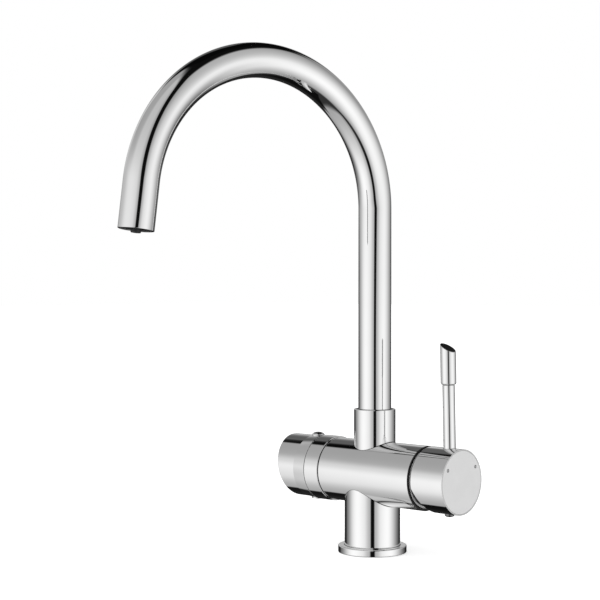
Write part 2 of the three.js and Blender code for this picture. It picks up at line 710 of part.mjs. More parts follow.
function addValve() {
  const waterHoles = (low, high) => [
    bar(filterPassRadius, low, high), bar(filterPassRadius, low, high).translate(...filterInlet, 0)];
  add(filter, 'filter_seat_seal', cut(
    solid(bar(valveDiscRadius, seatSealStart, seatSealStart + seatSealThickness)),
    ...waterHoles(seatSealStart - over, valveFixedStart)), 'rubber');
  add(filter, 'filter_fixed_disc', cut(
    solid(bar(valveDiscRadius, valveFixedStart, valveFixedStart + valveDiscThickness)),
    ...waterHoles(valveFixedStart - over, valveMovingStart)), 'ceramic');

  const slotReach = Math.hypot(...filterInlet) + filterPassRadius;
  const slot = block(slotReach, 2 * filterPassRadius, valveMovingStart - over, stemStart)
    .translate(slotReach / 2, 0, 0)
    .rotateZ(Math.atan2(-inletDrop, portSide) + Math.PI / 2); // a quarter turn from open
  add(filter, 'filter_moving_disc', cut(
    solid(bar(valveDiscRadius, valveMovingStart, valveMovingStart + valveDiscThickness)),
    slot), 'ceramic');

  const grooveLow = stemShoulder + stemRingPlace;
  const grooveHigh = grooveLow + seatWidth;
  const grooveRadius = stemRadius - seatDepth;
  const clipGrooveEnd = clipStart + clipThickness + gap;
  add(filter, 'filter_spindle', turned([
    [0, stemStart], [valveDiscRadius, stemStart], [valveDiscRadius, stemStart + stemFlange],
    [stemRadius, stemStart + stemFlange], [stemRadius, grooveLow], [grooveRadius, grooveLow],
    [grooveRadius, grooveHigh], [stemRadius, grooveHigh], [stemRadius, noseEnd],
    [grooveRadius, noseEnd], [grooveRadius, clipGrooveEnd], [endRadius, clipGrooveEnd],
    [endRadius, stemEnd], [0, stemEnd],
  ]), 'brass');
  add(filter, 'filter_spindle_oring', roundSeal(stemRadius, grooveLow), 'rubber');
  add(filter, 'filter_spindle_clip',
    ring(grooveRadius + gap, grooveRadius + gap + clipReach, clipStart, clipStart + clipThickness), 'steel');

  const hex = bar(valveHexRadius, valveFlangeEnd - over, hexEnd, 6);
  add(filter, 'filter_valve_body', cut(
    joined(turned([
      [0, seatSealStart], [valveRadius, seatSealStart], [valveRadius, trimStart],
      [valveFlangeRadius, trimStart], [valveFlangeRadius, valveFlangeEnd], [noseRadius, valveFlangeEnd],
      [noseRadius, noseEnd], [0, noseEnd],
    ]), hex),
    bar(valveBore, seatSealStart - over, stemShoulder),
    bar(stemRadius + gap, stemShoulder - over, noseEnd + over)), 'brass');
}

function addKnob() {
  add(filter, 'filter_trim_ring', turned([
    [trimBore, trimStart], [trimRadius - edge, trimStart], [trimRadius, trimStart + edge],
    [trimRadius, trimEnd - edge], [trimRadius - edge, trimEnd], [valveHexRadius + gap, trimEnd],
    [valveHexRadius + gap, trimEnd - trimFront], [trimBore, trimEnd - trimFront],
  ]), 'chrome');

  const reach = knobMiddle + bodyRadius;
  const outside = turned([
    [0, knobStart], [trimRadius - edge, knobStart], [trimRadius, knobStart + edge],
    [bodyRadius, coneEnd], [bodyRadius, reach], [0, reach],
  ]);
  const endCut = slantedCutter(THREE.MathUtils.degToRad(knobSlant), knobMiddle, bodyRadius);
  const bandRadius = bodyRadius + (trimRadius - bodyRadius) * pipPlace / knobCone;
  const pipTop = bandRadius + pipProud;
  const pip = turned([[0, knobBore], [pipRadius, knobBore], ...rim(pipRadius, pipTop, pipRadius, pipDome)]);
  const bossTop = bandRadius + screwBossProud;
  const boss = bevelledBar(pipRadius, knobBore, bossTop, 0, edge);

  const cap = cut(solid(outside), endCut);
  const cavity = cut(solid(bar(knobBore, knobStart - over, knobFloor)),
    bar(knobHubRadius, knobHubStart, knobFloor + over));
  const knob = cut(
    cap.add(solid(pointingUp(pip).translate(0, 0, pipCentre)))
      .add(solid(pointingDown(boss).translate(0, 0, pipCentre)))
      .subtract(cavity),
    bar(endRadius + gap, knobHubStart - over, stemEnd + gap),
    pointingDown(bar(grubRadius + gap, 0, knobHubRadius + over)).translate(0, 0, pipCentre),
    pointingDown(bar(accessRadius, knobBore - over, bossTop + over)).translate(0, 0, pipCentre));
  add(filter, 'filter_knob', knob, 'chrome');

  const grub = grubScrew(endRadius + gap, knobHubRadius);
  add(filter, 'knob_grub_screw', grub.rotate([90, 0, 0]).translate([0, 0, pipCentre]), 'steel');
}

// ---------------------------------------------------------------- spout

/** Centreline of the spout: riser, arc and straight end, with one step for each straight stretch. */
class GooseneckPath extends THREE.Curve {
  constructor(start, inset) {
    super();
    this.start = start;
    this.endLength = tipLength - inset;
  }

  getPoint(t, target = new THREE.Vector3()) {
    const step = t * (archSteps + 2);
    const angle = THREE.MathUtils.degToRad(archAngle) * THREE.MathUtils.clamp((step - 1) / archSteps, 0, 1);
    target.set(0, -archRadius * (1 - Math.cos(angle)), springHeight + archRadius * Math.sin(angle));
    if (step < 1) target.z = THREE.MathUtils.lerp(this.start, springHeight, step);
    const along = Math.max(step - archSteps - 1, 0) * this.endLength;
    return target.addScaledVector(this.getTangent(t), along);
  }

  getTangent(t, target = new THREE.Vector3()) {
    const step = t * (archSteps + 2);
    const angle = THREE.MathUtils.degToRad(archAngle) * THREE.MathUtils.clamp((step - 1) / archSteps, 0, 1);
    return target.set(0, -Math.sin(angle), Math.cos(angle));
  }

  getPointAt(u, target) {
    return this.getPoint(u, target);
  }

  getTangentAt(u, target) {
    return this.getTangent(u, target);
  }
}

/** Hollow tube along the spout's centreline. */
function pipe(radius, wall, start, inset) {
  const sides = sidesFor(radius);
  const circle = (r) => Array.from({ length: sides }, (_, i) => {
    const angle = 2 * Math.PI * i / sides;
    return new THREE.Vector2(r * Math.cos(angle), r * Math.sin(angle));
  });
  const section = new THREE.Shape(circle(radius));
  section.holes.push(new THREE.Path(circle(radius - wall)));
  return new THREE.ExtrudeGeometry(section, {
    steps: archSteps + 2, bevelEnabled: false, extrudePath: new GooseneckPath(start, inset),
  });
}

function addSpout() {
  add(spout, 'spout_tube', pipe(tubeRadius, tubeWall, tubeStart, 0), 'chrome');

  const innerInset = gap - nozzleShoulder;
  add(spout, 'filtered_water_tube',
    pipe(innerTubeRadius, innerTubeWall, innerTubeStart, innerInset), 'whitePlastic');
  add(spout, 'filtered_tube_oring', roundSeal(innerTubePlay + cordWidth, pocketFloor), 'rubber');

  const grooveRadius = tubeRadius - seatDepth;
  const grooves = ringPlaces.map((above) => [connectorFoot + above, connectorFoot + above + seatWidth]);
  const clipLow = socketStart + clipGroove - gap;
  const clipHigh = clipLow + retainerThickness + 2 * gap;
  const profile = [[connectorBore, connectorFoot], [tubeRadius, connectorFoot]];
  for (const [low, high] of [...grooves, [clipLow, clipHigh]]) {
    profile.push([tubeRadius, low], [grooveRadius, low], [grooveRadius, high], [tubeRadius, high]);
  }
  const connectorTop = tubeStart - gap;
  profile.push([tubeRadius, connectorTop], [tubeBore - gap, connectorTop],
    [tubeBore - gap, connectorTop + connectorSpigot], [connectorBore, connectorTop + connectorSpigot]);
  add(spout, 'spout_connector', turned(profile), 'brass');
  ['lower', 'upper'].forEach((name, i) => {
    add(spout, `spout_oring_${name}`, roundSeal(tubeRadius, grooves[i][0]), 'rubber');
  });

  const clipOuter = socketRadius + clipSeat;
  const split = block(clipSplit, clipOuter, clipLow, clipHigh).translate(0, clipOuter, 0);
  add(spout, 'spout_retaining_clip', cut(
    solid(ring(grooveRadius + gap, clipOuter, clipLow + gap, clipHigh - gap)), split), 'steel');
  const glideInner = tubeRadius + gap;
  add(spout, 'spout_glide_ring',
    ring(glideInner, glideInner + glideWidth, collarTop - glideHeight, collarTop - flush), 'blackPlastic');
}

// ---------------------------------------------------------------- outlet

function addOutlet() {
  const outletGroup = new THREE.Group();
  const path = new GooseneckPath(tubeStart, 0);
  outletGroup.position.copy(path.getPoint(1));
  const flow = path.getTangent(1);
  const side = new THREE.Vector3(1, 0, 0);
  outletGroup.quaternion.setFromRotationMatrix(
    new THREE.Matrix4().makeBasis(side, new THREE.Vector3().crossVectors(flow, side), flow));
  spout.add(outletGroup);

  const housingOuter = tubeBore - gap;
  const housingInner = housingOuter - aeratorWall;
  const sleeveInner = nozzleRadius + gap;
  const sleeveOuter = sleeveInner + sleeveWall;
  const top = -aeratorLength - aeratorRecess;
  const webLength = housingInner + housingOuter;
  const webs = [0, Math.PI / 2].map((turn) => block(webLength, webWidth, top, top + webHeight).rotateZ(turn));
  const housing = joined(
    ring(housingInner, housingOuter, top, -aeratorRecess), ...webs,
    ring(sleeveInner, sleeveOuter, top, -2 * aeratorRecess));
  add(outletGroup, 'aerator_housing', cut(housing, bar(sleeveInner, top - over, 0)), 'blackPlastic');

  const screenInner = sleeveOuter + gap;
  const screenOuter = housingInner - gap;
  const screenLow = top + webHeight + gap;
  const screenHigh = screenLow + screenThickness;
  const holeCircle = (screenInner + screenOuter) / 2;
  const holes = Array.from({ length: screenHoles }, (_, i) =>
    bar(screenHoleRadius, screenLow - over, screenHigh + over, 6)
      .translate(holeCircle, 0, 0).rotateZ(2 * Math.PI * i / screenHoles));
  add(outletGroup, 'aerator_screen', cut(
    solid(ring(screenInner, screenOuter, screenLow, screenHigh)), ...holes), 'steel');

  const barbEnd = nozzleShoulder - barbLength;
  add(outletGroup, 'filtered_water_nozzle', turned([
    [nozzleBore, barbEnd], [barbRadius, barbEnd], [barbRadius, nozzleShoulder],
    [nozzleRadius, nozzleShoulder], [nozzleRadius, nozzleProud - edge],
    [nozzleRadius - edge, nozzleProud], [nozzleBore, nozzleProud],
  ]), 'blackPlastic');
}

addFoot();
addBody();
addCartridge();
addHandle();
addLever();
addValve();
addKnob();
addSpout();
addOutlet();

export default tap;
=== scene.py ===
"""Looks of the three way filtered water tap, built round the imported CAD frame.

Sizes below are in millimetres, in the frame of the CAD: +Z up, the cross tube along X, and the
origin in the middle of the foot. The outer pieces are turned, swept or cut from their own profiles
and carry exact normals, so that the chrome reflects without facets. The inner pieces are the
solids of the CAD with finishes of their own.
"""

import json
import math

import bpy
import numpy as np
from mathutils import Matrix, Vector


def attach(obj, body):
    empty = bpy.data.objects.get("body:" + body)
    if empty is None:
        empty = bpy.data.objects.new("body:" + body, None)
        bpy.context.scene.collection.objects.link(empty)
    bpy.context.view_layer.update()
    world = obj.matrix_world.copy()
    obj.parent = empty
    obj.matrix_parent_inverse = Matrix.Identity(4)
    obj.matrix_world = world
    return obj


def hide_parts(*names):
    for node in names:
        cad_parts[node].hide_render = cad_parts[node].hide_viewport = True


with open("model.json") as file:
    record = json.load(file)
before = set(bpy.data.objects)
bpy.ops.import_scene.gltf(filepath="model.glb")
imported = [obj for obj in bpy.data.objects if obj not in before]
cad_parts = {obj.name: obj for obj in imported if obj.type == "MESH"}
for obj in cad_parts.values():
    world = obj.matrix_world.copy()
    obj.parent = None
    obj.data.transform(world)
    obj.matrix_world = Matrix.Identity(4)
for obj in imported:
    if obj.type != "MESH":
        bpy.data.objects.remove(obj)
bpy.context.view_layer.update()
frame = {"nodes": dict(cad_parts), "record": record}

MM = 0.001

# ---------------------------------------------------------------- sizes shared with the CAD

GAP = 0.3
OVER = 1.0  # how far a cutter or a boss reaches past the face that it opens or meets
AXIS_HEIGHT = 60.2

FLANGE_RADIUS = 26.0
FLANGE_TOP = 5.3
FLANGE_FLOOR = 2.8
SEAL_INNER = 20.0
SEAL_OUTER = 23.0
SEAL_TOP = 1.5
INLET_BORE = 17.0
INLET_TOP = 20.0

# along the cross tube, counted from the column's axis
BODY_RADIUS = 24.0
BODY_LEFT = 34.4
BODY_RIGHT = 53.6
MIXER_BORE = 17.8
MIXER_FLOOR = 16.3
NUT_BORE = 20.3
NUT_FLOOR = 45.7
FILTER_BORE = 14.0
FILTER_FLOOR = 12.7
COVER_HOLE = 12.6
COVER_RADIUS = 20.5
COVER_TOP = 57.3

COLUMN_RADIUS = 21.1
COLUMN_START = 3.1
COLLAR_RADIUS = 15.75
COLLAR_TOP = 108.6
SPOUT_OFFSET = 2.3
SOCKET_BORE = 12.9
SOCKET_FLOOR = 78.0
PASSAGE_BORE = 9.0
PASSAGE_START = 69.0
GLIDE_BORE = 14.0
GLIDE_FLOOR = 105.7
GLIDE_INNER = 12.8
GLIDE_TOP = 108.5

HANDLE_REAR = 56.2
HANDLE_FACE = 84.7
HANDLE_BORE = 21.6
HANDLE_ROOF = 79.5
DISC_SEAT = 22.9
DISC_FLOOR = 83.2
CUT_DROP = 3.75  # the slanted rear cut starts this far below the axis
CUT_SLOPE = math.tan(math.radians(24.3))
HUB_RADIUS = 7.5
HUB_START = 63.0
SPINDLE_SLOT = (6.6, 7.6)
SPINDLE_SLOT_END = 79.3
LEVER_BOSS_RADIUS = 6.5
PLUG_BOSS_RADIUS = 5.5
BOSS_REACH = 22.4  # into the wall of the handle or the knob
GRUB_RADIUS = 2.5
DOT_START = 84.0
DOT_RADIUS = 1.0
DOT_CIRCLE = 19.1
DOT_ANGLE = math.radians(58.5)  # from the top
PLUG_RADIUS = 3.5
PLUG_START = 18.3
PLUG_TOP = 26.2

LEVER_PLACE = 73.6
LEVER_LEAN = math.radians(-1.3)
ROD_RADIUS = 4.5
ROD_SUNK = 13.0
ROD_SHOULDER = 45.8
TENON_RADIUS = 3.0
TENON_END = 65.8
GRIP_RADIUS = 5.7
GRIP_END = 73.0
GRIP_SLOPE = math.tan(math.radians(30.3))

TRIM_RADIUS = 25.0
TRIM_BORE = 20.3
TRIM_END = 48.3
TRIM_ROOF = 46.3
STEM_CLEARANCE = 12.3
KNOB_BORE = 21.5
KNOB_TAPER_END = 60.3
KNOB_END = 76.8
KNOB_ROOF = 69.8
KNOB_SLOPE = math.tan(math.radians(10.8))
PIP_PLACE = 55.9
PIP_RADIUS = 5.0
PIP_TOP = 26.98
KNOB_BOSS_TOP = 25.18
KNOB_HUB_RADIUS = 8.0
KNOB_HUB_START = 50.4
STEM_HOLE_RADIUS = 4.3
STEM_HOLE_END = 69.1
ACCESS_RADIUS = 3.0

TUBE_RADIUS = 12.5
TUBE_WALL = 1.2
TUBE_START = 99.8
SPRING_HEIGHT = 260.0
ARCH_RADIUS = 103.1
ARCH_ANGLE = math.radians(172.66)
TIP_LENGTH = 33.4
SWIVEL = math.radians(9.6)
HOUSING_RADIUS = 11.0
HOUSING_BORE = 9.5
HOUSING_SUNK = 12.0
WEB_HEIGHT = 3.0
WEB_THICKNESS = 1.6
SLEEVE_RADIUS = 4.8
NOZZLE_RADIUS = 3.5
NOZZLE_BORE = 1.0
NOZZLE_PROUD = 2.0
TAIL_RADIUS = 1.7
TAIL_END = -17.5

# ---------------------------------------------------------------- sizes of the looks alone

BEAD = 0.35  # ball that rolls in the corners of the casting
END_RING = 22.0  # inner radius of the black ring of painted shade on the body's right end
END_STEP = 0.1  # depth of the machined face within that ring
END_ROUND = 0.7  # the solid has a bevel of this size
DISC_SEAM = 0.05  # round the face disc, and its depth under the handle's rim
TUBE_RIM = 0.35

# ---------------------------------------------------------------- frames


def basis(x, y, z, origin):
    """Matrix from a local frame, given by its axes and origin, to the frame of the CAD."""
    m = Matrix.Identity(4)
    for i, axis in enumerate((x, y, z, origin)):
        for j in range(3):
            m[j][i] = axis[j]
    return m


WORLD = Matrix.Identity(4)
MIXER = basis((0, 1, 0), (0, 0, 1), (1, 0, 0), (0, 0, AXIS_HEIGHT))
FILTER = basis((0, -1, 0), (0, 0, 1), (-1, 0, 0), (0, 0, AXIS_HEIGHT))
AT_COLLAR = Matrix.Translation((SPOUT_OFFSET, 0, 0))
SPOUT = AT_COLLAR @ Matrix.Rotation(-SWIVEL, 4, "Z")
LEVER = (
    MIXER
    @ basis((1, 0, 0), (0, 0, -1), (0, 1, 0), (0, BODY_RADIUS, LEVER_PLACE))
    @ Matrix.Rotation(LEVER_LEAN, 4, "X")
)
UP = basis((1, 0, 0), (0, 0, -1), (0, 1, 0), (0, 0, 0))
DOWN = basis((1, 0, 0), (0, 0, 1), (0, -1, 0), (0, 0, 0))

# ---------------------------------------------------------------- mesh code


def outline(points, closed=True, steps=5):
    """Strips of (r, h, nr, nh) samples along a profile of (r, h, fillet) points.

    The solid lies on the left of the direction of travel. A fillet gives a run of samples with
    turning normals; a corner without one ends the strip, so that the edge there stays sharp."""
    count = len(points)
    pts = [Vector(p[:2]) for p in points]
    radii = [p[2] if len(p) > 2 else 0.0 for p in points]
    segments = count if closed else count - 1

    def direction(i):
        return (pts[(i + 1) % count] - pts[i % count]).normalized()

    strip = []
    strips = [strip]
    for i in range(segments):
        along = direction(i)
        normal = (along.y, -along.x)
        start, end = pts[i], pts[(i + 1) % count]
        if radii[i] > 0 and (closed or i > 0):
            start = start + along * radii[i] * math.tan(turn_angle(direction(i - 1), along) / 2)
        elif strip:
            strip = []
            strips.append(strip)
        strip.append((start.x, start.y, *normal))
        following = (i + 1) % count
        rounded = radii[following] > 0 and (closed or i < segments - 1)
        if not rounded:
            strip.append((end.x, end.y, *normal))
            continue
        onward = direction(i + 1)
        angle = turn_angle(along, onward)
        radius = radii[following]
        tangent = end - along * radius * math.tan(angle / 2)
        strip.append((tangent.x, tangent.y, *normal))
        side = 1 if along.x * onward.y - along.y * onward.x > 0 else -1
        centre = tangent - Vector(normal) * radius * side
        for k in range(1, steps + 1):
            turned = Matrix.Rotation(side * angle * k / steps, 2) @ Vector(normal)
            if k < steps:
                p = centre + turned * radius * side
                strip.append((p.x, p.y, turned.x, turned.y))
    if closed and radii[0] > 0:
        first = strips.pop(0) if len(strips) > 1 else strips[0][:1]
        strips[-1].extend(first)
    return strips


def turn_angle(a, b):
    return math.acos(max(-1.0, min(1.0, a.dot(b))))


class Shape:
    """Points, polygons and one normal for each polygon corner."""

    def __init__(self):
        self.points = []
        self.faces = []
        self.normals = []
        self.seen = {}

    def point(self, p):
        key = (round(p[0], 5), round(p[1], 5), round(p[2], 5))
        if key not in self.seen:
            self.seen[key] = len(self.points)
            self.points.append(tuple(p))
        return self.seen[key]

    def face(self, corners, normals):
        kept = []
        for c, n in zip(corners, normals):
            index = self.point(c)
            if not any(index == k for k, _ in kept):
                kept.append((index, n))
        if len(kept) > 2:
            self.faces.append([k for k, _ in kept])
            self.normals.append([n for _, n in kept])

    def grid(self, rows, closed_rows=False):
        """Quads between rows of (point, normal) samples; each row is a closed loop."""
        for a, b in zip(rows, rows[1:] + rows[:1] if closed_rows else rows[1:]):
            n = len(a)
            for i in range(n):
                j = (i + 1) % n
                quad = (a[i], a[j], b[j], b[i])
                self.face([q[0] for q in quad], [q[1] for q in quad])

    def build(self, name, matrix=WORLD):
        """Object with the shape's mesh, placed by a matrix; its sizes stay in millimetres."""
        mesh = bpy.data.meshes.new(name)
        mesh.from_pydata(self.points, [], self.faces)
        spin = matrix.to_3x3()
        values = []
        for ns in self.normals:
            for n in ns:
                values.extend((spin @ Vector(n)).normalized())
        layer = mesh.attributes.new("exact_normal", "FLOAT_VECTOR", "CORNER")
        layer.data.foreach_set("vector", np.array(values, np.float32))
        mesh.transform(matrix)
        obj = bpy.data.objects.new(name, mesh)
        bpy.context.scene.collection.objects.link(obj)
        return obj


def lathe(points, sides=160, closed=True, steps=5, slant=0.0, slant_from=1e9):
    """Shape turned about Z from an outline's points."""
    return turned(outline(points, closed, steps), sides, slant, slant_from)


def turned(strips, sides=160, slant=0.0, slant_from=1e9):
    """Shape turned about Z from strips of samples. Samples at or over slant_from are sheared along
    Z by slant times their Y, which slopes an end face and keeps the wall a cylinder."""
    shape = Shape()
    for strip in strips:
        rows = []
        for r, h, nr, nh in strip:
            row = []
            for i in range(sides):
                t = 2 * math.pi * i / sides
                c, s = math.cos(t), math.sin(t)
                k = slant if h >= slant_from else 0.0
                normal = Vector((nr * c, nr * s - k * nh, nh)).normalized()
                row.append(((r * c, r * s, h + k * r * s), tuple(normal)))
            rows.append(row)
        shape.grid(rows)
    return shape


def prism(polygon, low, high):
    """Shape with straight walls on a counter-clockwise polygon of (x, y) points."""
    shape = Shape()
    n = len(polygon)
    shape.face([(x, y, high) for x, y in polygon], [(0, 0, 1)] * n)
    shape.face([(x, y, low) for x, y in reversed(polygon)], [(0, 0, -1)] * n)
    for i in range(n):
        (x0, y0), (x1, y1) = polygon[i], polygon[(i + 1) % n]
        wall = Vector((y1 - y0, x0 - x1, 0)).normalized()
        corners = [(x0, y0, low), (x1, y1, low), (x1, y1, high), (x0, y0, high)]
        shape.face(corners, [tuple(wall)] * 4)
    return shape


def rectangle(width, height):
    return [(-width / 2, -height / 2), (width / 2, -height / 2),
            (width / 2, height / 2), (-width / 2, height / 2)]


def bar(radius, low, high, low_round=0.0, high_round=0.0, sides=160):
    """Solid round bar with rounded rims."""
    return lathe([(0, low), (radius, low, low_round), (radius, high, high_round), (0, high)],
                 sides, closed=False)


def domed_rim(radius, top, width, drop, steps=12):
    """Samples of an elliptic rim, from its side up and in to its top."""
    samples = []
    for k in range(steps + 1):
        a = math.pi / 2 * k / steps
        normal = Vector((math.cos(a) / width, math.sin(a) / drop)).normalized()
        inward, down = width * (1 - math.cos(a)), drop * (1 - math.sin(a))
        samples.append((radius - inward, top - down, *normal))
    return samples


def domed_bar(radius, low, top, drop, sides=120):
    """Solid round bar with a domed end."""
    return turned([[(0, low, 0, -1), (radius, low, 0, -1)],
                   [(radius, low, 1, 0), *domed_rim(radius, top, radius, drop)]], sides)


def stepped_bore(steps):
    """Solid to cut a bore with: round steps of (radius, low, high), each on top of the last."""
    points = [(0, steps[0][1])]
    for radius, low, high in steps:
        points += [(radius, low), (radius, high)]
    return lathe([*points, (0, steps[-1][2])], closed=False)


def ring(inner, outer, low, high, rounding=0.0, sides=160):
    return lathe([(inner, low, rounding), (outer, low, rounding),
                  (outer, high, rounding), (inner, high, rounding)], sides)


def combine(obj, operation, others):
    """Joins the other objects to obj, or cuts them from it, and removes them."""
    for other in others:
        modifier = obj.modifiers.new(operation, "BOOLEAN")
        modifier.operation = operation
        modifier.solver = "MANIFOLD"
        modifier.object = other
        depsgraph = bpy.context.evaluated_depsgraph_get()
        mesh = bpy.data.meshes.new_from_object(obj.evaluated_get(depsgraph))
        old = obj.data
        obj.modifiers.clear()
        obj.data = mesh
        mesh.name = obj.name
        bpy.data.meshes.remove(old)
        bpy.data.objects.remove(other)


def join(obj, *others):
    combine(obj, "UNION", others)


def cut(obj, *others):
    combine(obj, "DIFFERENCE", others)


def finish_piece(obj, material, body, slot, *nodes):
    """Turns a mesh in millimetres into a finished piece that stands for CAD nodes."""
    mesh = obj.data
    mesh.transform(Matrix.Scale(MM, 4))
    layer = mesh.attributes["exact_normal"]
    values = np.zeros(len(mesh.loops) * 3, np.float32)
    layer.data.foreach_get("vector", values)
    values = values.reshape(-1, 3)
    values /= np.maximum(np.linalg.norm(values, axis=1), 1e-6)[:, None]
    mesh.attributes.remove(layer)
    for polygon in mesh.polygons:
        polygon.use_smooth = True
    mesh.normals_split_custom_set(values)
    mesh.materials.clear()
    mesh.materials.append(material)
    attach(obj, body)
    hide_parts(*nodes)


# ---------------------------------------------------------------- materials

NOISE_DETAIL = 4.0
NOISE_LOW, NOISE_HIGH = 0.3, 0.7  # the band that most of a noise texture's values lie in
WEAR_SCALE = 2.7  # roughness varies on a finer scale than colour, by this factor
SHADE_SAMPLES = 6


def new_material(name):
    material = bpy.data.materials.new(name)
    material.use_nodes = True
    nodes = material.node_tree.nodes
    return material, nodes, material.node_tree.links, nodes["Principled BSDF"]


def noise(nodes, links, coordinates, scale, stretch=None):
    """Noise texture in object space; stretch squeezes it along the axes."""
    texture = nodes.new("ShaderNodeTexNoise")
    texture.inputs["Scale"].default_value = scale
    texture.inputs["Detail"].default_value = NOISE_DETAIL
    if stretch:
        mapping = nodes.new("ShaderNodeMapping")
        mapping.inputs["Scale"].default_value = stretch
        links.new(coordinates, mapping.inputs["Vector"])
        coordinates = mapping.outputs["Vector"]
    links.new(coordinates, texture.inputs["Vector"])
    return texture.outputs["Fac"]


def spread(nodes, links, value, low, high):
    """A noise value mapped onto a range."""
    node = nodes.new("ShaderNodeMapRange")
    node.inputs["From Min"].default_value = NOISE_LOW
    node.inputs["From Max"].default_value = NOISE_HIGH
    node.inputs["To Min"].default_value = low
    node.inputs["To Max"].default_value = high
    links.new(value, node.inputs["Value"])
    return node.outputs["Result"]


def surface(name, colours, rough, metallic=0.0, scale=60.0, bump=0.05, bump_scale=400.0,
            stretch=None, distance=0.0002, shade_reach=0.0):
    """Finish with mottled colour, varying roughness and a fine relief.

    With shade_reach, painted shade darkens the colour in gaps and corners narrower than that many
    metres."""
    material, nodes, links, shader = new_material(name)
    coordinates = nodes.new("ShaderNodeTexCoord").outputs["Object"]
    mottle = noise(nodes, links, coordinates, scale, stretch=stretch)
    ramp = nodes.new("ShaderNodeValToRGB")
    ramp.color_ramp.elements[0].position = NOISE_LOW
    ramp.color_ramp.elements[1].position = NOISE_HIGH
    ramp.color_ramp.elements[0].color = (*colours[0], 1)
    ramp.color_ramp.elements[1].color = (*colours[1], 1)
    links.new(mottle, ramp.inputs["Fac"])
    colour = ramp.outputs["Color"]
    # painted shade: an ambient occlusion node darkens the base colour in narrow gaps and where
    # parts meet
    if shade_reach:
        painted_shade = nodes.new("ShaderNodeAmbientOcclusion")
        painted_shade.samples = SHADE_SAMPLES
        painted_shade.inputs["Distance"].default_value = shade_reach
        links.new(colour, painted_shade.inputs["Color"])
        colour = painted_shade.outputs["Color"]
    links.new(colour, shader.inputs["Base Color"])
    wear = noise(nodes, links, coordinates, scale * WEAR_SCALE, stretch=stretch)
    links.new(spread(nodes, links, wear, *rough), shader.inputs["Roughness"])
    shader.inputs["Metallic"].default_value = metallic
    relief = nodes.new("ShaderNodeBump")
    relief.inputs["Strength"].default_value = bump
    relief.inputs["Distance"].default_value = distance
    height = noise(nodes, links, coordinates, bump_scale, stretch=stretch)
    links.new(height, relief.inputs["Height"])
    links.new(relief.outputs["Normal"], shader.inputs["Normal"])
    return material


CHROME_REFLECTANCE = 0.92
# chrome with painted shade darkening its colour in gaps and corners narrower than 1 mm
CHROME = surface("chrome_plate", ((0.91, 0.91, 0.91), (0.93, 0.93, 0.93)), (0.03, 0.045),
                 metallic=1.0, scale=35.0, bump=0.02, bump_scale=900.0, distance=0.00002,
                 shade_reach=0.001)
# dull chrome whose colour is darkened as painted shade, for the screw plug that takes the chrome
# slot
DULL_SHADED_CHROME = surface("dull_chrome_painted_shade", ((0.16, 0.16, 0.16), (0.20, 0.20, 0.20)), (0.12, 0.2),
                      metallic=1.0, scale=60.0, bump=0.05, bump_scale=900.0, distance=0.00002)
SATIN = surface("satin_chrome", ((0.84, 0.84, 0.84), (0.87, 0.87, 0.87)), (0.42, 0.5),
                metallic=0.15, scale=80.0, bump=0.1, bump_scale=2500.0, distance=0.00003)
BRASS = surface("machined_brass", ((0.62, 0.46, 0.22), (0.70, 0.53, 0.27)), (0.25, 0.4),
                metallic=1.0, scale=90.0, bump=0.15, bump_scale=700.0, stretch=(1, 1, 6))
STEEL = surface("stainless_steel", ((0.52, 0.53, 0.54), (0.60, 0.61, 0.62)), (0.22, 0.35),
                metallic=1.0, scale=120.0, bump=0.1, bump_scale=1500.0)
RUBBER = surface("black_rubber", ((0.012, 0.012, 0.013), (0.022, 0.022, 0.023)), (0.6, 0.8),
                 scale=200.0, bump=0.3, bump_scale=1800.0)
WHITE_PLASTIC = surface("white_plastic", ((0.76, 0.76, 0.73), (0.82, 0.82, 0.80)), (0.35, 0.5),
                        scale=70.0, bump=0.08, bump_scale=1400.0)
BLACK_PLASTIC = surface("black_plastic", ((0.016, 0.017, 0.018), (0.028, 0.029, 0.030)),
                        (0.35, 0.5), scale=90.0, bump=0.15, bump_scale=1500.0)
CERAMIC = surface("ground_ceramic", ((0.83, 0.80, 0.73), (0.88, 0.86, 0.80)), (0.12, 0.25),
                  scale=150.0, bump=0.06, bump_scale=2500.0)
# painted shade: near-black colour that stands for the shadow in the gap between body and handle
GAP_SHADE = surface("painted_gap_shade", ((0.010, 0.010, 0.010), (0.018, 0.018, 0.018)), (0.5, 0.7),
                    scale=90.0, bump=0.1, bump_scale=900.0)
BARE_END = surface("machined_end", ((0.84, 0.84, 0.84), (0.90, 0.90, 0.90)), (0.35, 0.5),
                   metallic=0.1, scale=90.0, bump=0.1, bump_scale=900.0)
GREY_DOT = surface("grey_marking", ((0.34, 0.34, 0.345), (0.40, 0.40, 0.405)), (0.4, 0.55),
                   scale=900.0, bump=0.1, bump_scale=4000.0)

FINISHES = {
    "chrome": CHROME, "satin_chrome": SATIN, "brass": BRASS, "steel": STEEL, "rubber": RUBBER,
    "white_plastic": WHITE_PLASTIC, "black_plastic": BLACK_PLASTIC, "ceramic": CERAMIC,
    "grey_marking": GREY_DOT,
}

for part in frame["record"]["subparts"]:
    data = frame["nodes"][part["node"]].data
    data.materials.clear()
    data.materials.append(FINISHES[part["material_slot"]])

# ---------------------------------------------------------------- foot


